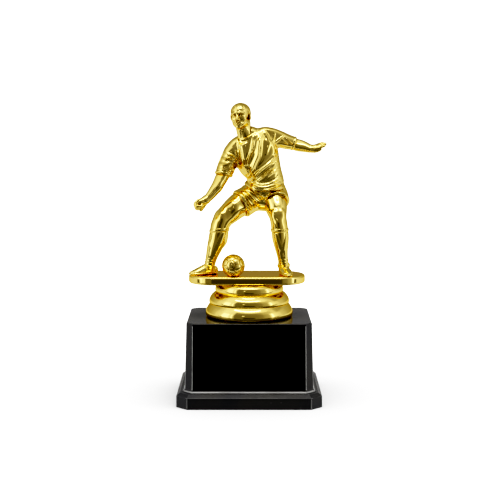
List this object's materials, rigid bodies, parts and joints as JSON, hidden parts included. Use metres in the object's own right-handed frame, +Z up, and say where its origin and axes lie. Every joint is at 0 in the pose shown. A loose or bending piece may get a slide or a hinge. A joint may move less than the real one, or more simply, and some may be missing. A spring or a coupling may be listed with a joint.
{
  "type": "figure trophy",
  "caption": "Award trophy: gold footballer with a ball on a slotted platform and tiered riser, bolted to a hollow black pedestal; stands on a shelf.",
  "frame": {"origin": "on the surface the trophy stands on, under the axis of the stud", "axes": "+Z up along the stud; -Y is the front, towards which the footballer faces; +X is to the right seen from the front"},
  "size_m": [0.0734, 0.06, 0.145],
  "materials": {
    "gold_figure": "vacuum-metallised gold under clear lacquer, mirror bright",
    "gold_riser": "vacuum-metallised gold under clear lacquer, mirror bright",
    "black_pedestal": "piano black, moulded gloss",
    "ballast_steel": "pressed mild steel, dull",
    "zinc_steel": "bright zinc plate"
  },
  "bodies": {
    "base": {"pedestal_shell": "black_pedestal", "ballast_plate": "ballast_steel"},
    "figure": {"player": "gold_figure", "football": "gold_figure", "platform": "gold_figure", "riser": "gold_riser", "captive_nut": "zinc_steel", "tie_stud": "zinc_steel", "plain_washer": "zinc_steel", "spring_washer": "zinc_steel", "hex_nut": "zinc_steel"}
  },
  "joints": [
    {"name": "figure_swivel", "type": "hinge", "parent": "base", "child": "figure", "pos_m": [0, 0, 0.0404], "axis": [0, 0, 1], "continuous": true}
  ]
}
